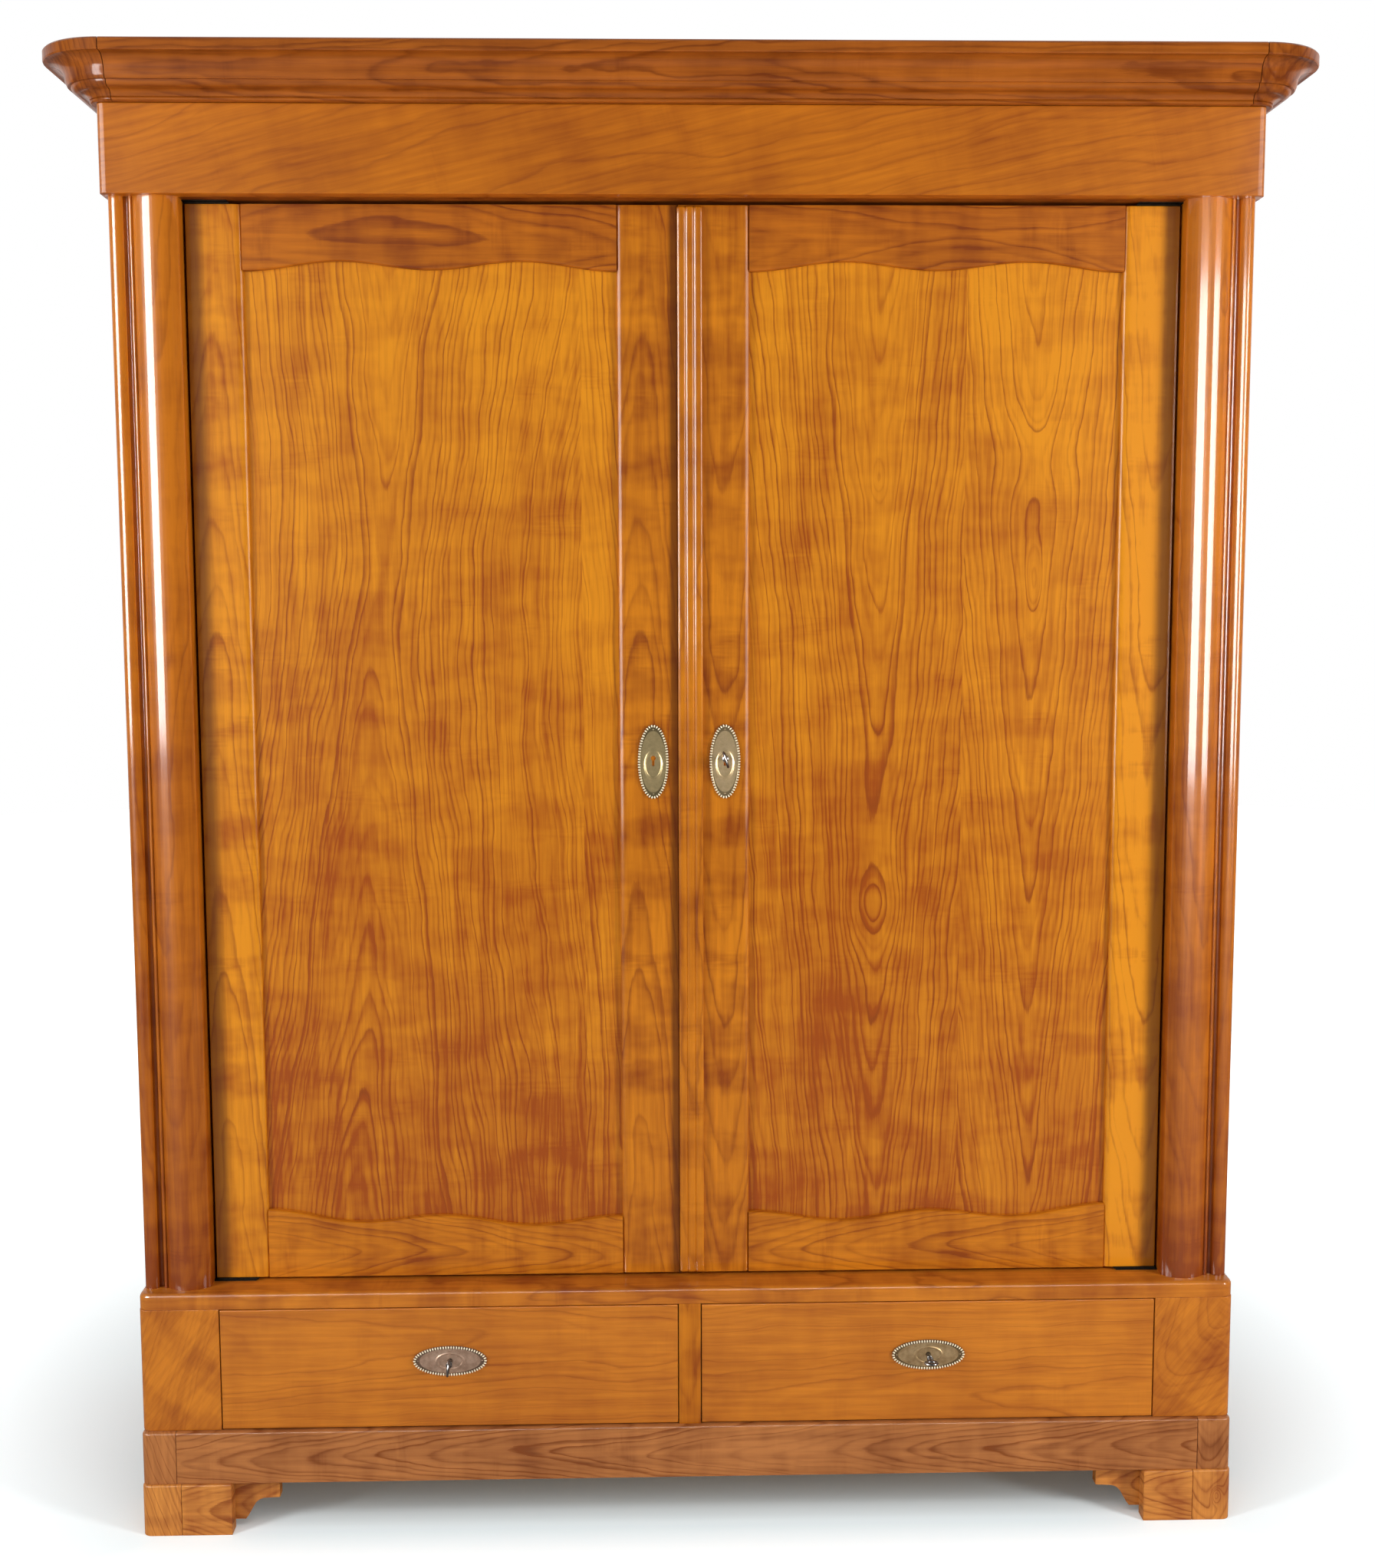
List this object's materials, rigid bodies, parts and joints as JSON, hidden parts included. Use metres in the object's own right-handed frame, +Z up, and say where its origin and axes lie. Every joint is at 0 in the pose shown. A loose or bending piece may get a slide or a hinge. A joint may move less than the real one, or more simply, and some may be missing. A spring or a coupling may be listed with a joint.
{
  "type": "wardrobe",
  "caption": "Tall panelled wardrobe with paired hinged doors, reeded meeting strip, rounded corner columns, moulded cornice, and locking drawers in a plinth base on bracket feet.",
  "frame": {"origin": "on the floor, at the centre of the whole outline seen from above", "axes": "+Z up, -Y out of the front through the doors, +X to the viewer's right when facing the front"},
  "size_m": [1.706, 0.637, 2.05],
  "materials": {
    "case_wood": "gloss varnish over straight-grained board",
    "cornice_wood": "gloss varnish, darker and redder",
    "plinth_wood": "gloss varnish over flamed grain",
    "inner_wood": "plain unvarnished softwood",
    "door_frame_wood": "gloss varnish, upright and level grain",
    "door_panel_wood": "gloss varnish over flamed boards",
    "drawer_wood": "gloss varnish over level grain",
    "plate_brass": "worn stamped brass",
    "lock_steel": "dull steel",
    "bolt_steel": "rubbed steel",
    "key_steel": "dark steel"
  },
  "bodies": {
    "case": {"back_boards": "inner_wood", "base_back": "inner_wood", "base_floor": "inner_wood", "base_posts": "case_wood", "base_sides": "case_wood", "cornice_corners": "cornice_wood", "cornice_front": "cornice_wood", "cornice_sides": "cornice_wood", "drawer_divider": "case_wood", "drawer_runners": "inner_wood", "foot_boards": "plinth_wood", "foot_brackets": "plinth_wood", "foot_posts": "plinth_wood", "frieze_front": "case_wood", "frieze_sides": "case_wood", "hanging_rail": "inner_wood", "hat_shelf": "inner_wood", "head_rail": "inner_wood", "left_column": "case_wood", "pivot_plates": "lock_steel", "plinth_front": "plinth_wood", "plinth_posts": "plinth_wood", "plinth_returns": "plinth_wood", "rail_sockets": "lock_steel", "rear_feet": "plinth_wood", "right_column": "case_wood", "shelf_battens": "inner_wood", "side_frames": "case_wood", "side_panels": "case_wood", "top_board": "inner_wood", "waist_ledge": "case_wood"},
    "left_door": {"left_door_stiles": "door_frame_wood", "left_door_rails": "door_frame_wood", "left_door_panel": "door_panel_wood", "left_door_escutcheon": "plate_brass", "left_door_pivots": "lock_steel", "left_door_bolt_plates": "lock_steel"},
    "left_door_top_bolt": {"left_door_top_bolt": "bolt_steel"},
    "left_door_bottom_bolt": {"left_door_bottom_bolt": "bolt_steel"},
    "right_door": {"right_door_stiles": "door_frame_wood", "right_door_rails": "door_frame_wood", "right_door_panel": "door_panel_wood", "right_door_escutcheon": "plate_brass", "right_door_pivots": "lock_steel", "meeting_strip": "case_wood", "door_lock_case": "lock_steel"},
    "door_lock_bolt": {"door_lock_bolt": "bolt_steel"},
    "door_key": {"door_key": "key_steel"},
    "left_drawer": {"left_drawer_front": "drawer_wood", "left_drawer_box": "inner_wood", "left_drawer_escutcheon": "plate_brass", "left_drawer_lock_case": "lock_steel"},
    "left_drawer_lock_bolt": {"left_drawer_lock_bolt": "bolt_steel"},
    "left_drawer_key": {"left_drawer_key": "key_steel"},
    "right_drawer": {"right_drawer_front": "drawer_wood", "right_drawer_box": "inner_wood", "right_drawer_escutcheon": "plate_brass", "right_drawer_lock_case": "lock_steel"},
    "right_drawer_lock_bolt": {"right_drawer_lock_bolt": "bolt_steel"},
    "right_drawer_key": {"right_drawer_key": "key_steel"}
  },
  "joints": [
    {"name": "left_door_swing", "type": "hinge", "parent": "case", "child": "left_door", "pos_m": [-0.668, -0.1965, 0.352], "axis": [0, 0, -1], "range_deg": [0, 100]},
    {"name": "right_door_swing", "type": "hinge", "parent": "case", "child": "right_door", "pos_m": [0.668, -0.1965, 0.352], "axis": [0, 0, 1], "range_deg": [0, 100]},
    {"name": "left_drawer_slide", "type": "slide", "parent": "case", "child": "left_drawer", "axis": [0, -1, 0], "range_m": [0, 0.4]},
    {"name": "right_drawer_slide", "type": "slide", "parent": "case", "child": "right_drawer", "axis": [0, -1, 0], "range_m": [0, 0.4]},
    {"name": "top_bolt_slide", "type": "slide", "parent": "left_door", "child": "left_door_top_bolt", "axis": [0, 0, 1], "range_m": [0, 0.014]},
    {"name": "bottom_bolt_slide", "type": "slide", "parent": "left_door", "child": "left_door_bottom_bolt", "axis": [0, 0, -1], "range_m": [0, 0.014]},
    {"name": "door_key_turn", "type": "hinge", "parent": "right_door", "child": "door_key", "pos_m": [0.053, -0.19, 1.105], "axis": [0, -1, 0], "range_deg": [0, 184]},
    {"name": "door_lock_bolt_slide", "type": "slide", "parent": "right_door", "child": "door_lock_bolt", "axis": [-1, 0, 0], "range_m": [0, 0.01]},
    {"name": "left_drawer_key_turn", "type": "hinge", "parent": "left_drawer", "child": "left_drawer_key", "pos_m": [-0.34175, -0.24, 0.25], "axis": [0, -1, 0], "range_deg": [0, 184]},
    {"name": "left_drawer_bolt_slide", "type": "slide", "parent": "left_drawer", "child": "left_drawer_lock_bolt", "axis": [0, 0, 1], "range_m": [0, 0.009]},
    {"name": "right_drawer_key_turn", "type": "hinge", "parent": "right_drawer", "child": "right_drawer_key", "pos_m": [0.34175, -0.24, 0.25], "axis": [0, -1, 0], "range_deg": [0, 184]},
    {"name": "right_drawer_bolt_slide", "type": "slide", "parent": "right_drawer", "child": "right_drawer_lock_bolt", "axis": [0, 0, 1], "range_m": [0, 0.009]}
  ],
  "couplings": [
    {"joint": "door_key_turn", "follows": "door_lock_bolt_slide", "rad_per_m": 314.16},
    {"joint": "left_drawer_key_turn", "follows": "left_drawer_bolt_slide", "rad_per_m": 349.07},
    {"joint": "right_drawer_key_turn", "follows": "right_drawer_bolt_slide", "rad_per_m": 349.07}
  ]
}
